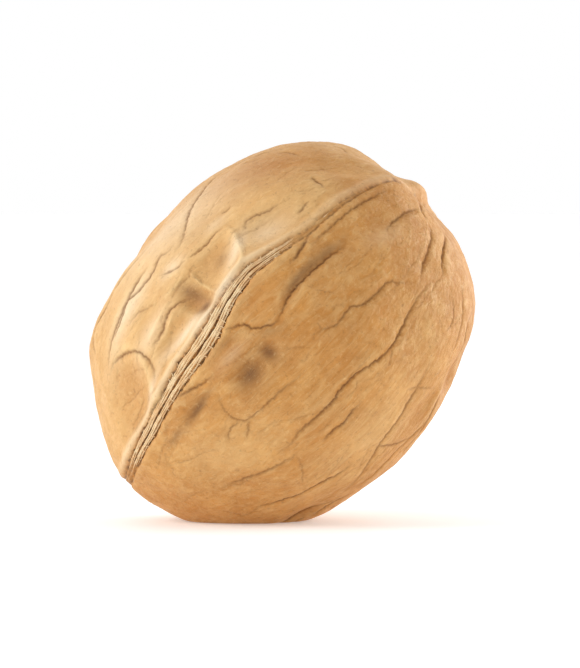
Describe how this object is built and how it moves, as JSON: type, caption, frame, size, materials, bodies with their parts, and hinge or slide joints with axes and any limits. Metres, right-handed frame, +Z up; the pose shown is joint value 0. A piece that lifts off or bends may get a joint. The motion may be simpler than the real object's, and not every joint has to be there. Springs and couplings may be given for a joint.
{
  "type": "walnut",
  "caption": "Whole walnut in its shell: an egg-shaped nut with a raised seam, a short beak, furrows and dimples.",
  "frame": {"origin": "centre of the small flat spot under the nut", "axes": "+Z up from the flat, +X towards the side where the beak points up, -Y towards the viewer"},
  "size_m": [0.0392, 0.0349, 0.0387],
  "materials": {
    "shell": "satin"
  },
  "bodies": {
    "root": {"walnut": "shell"}
  },
  "joints": []
}
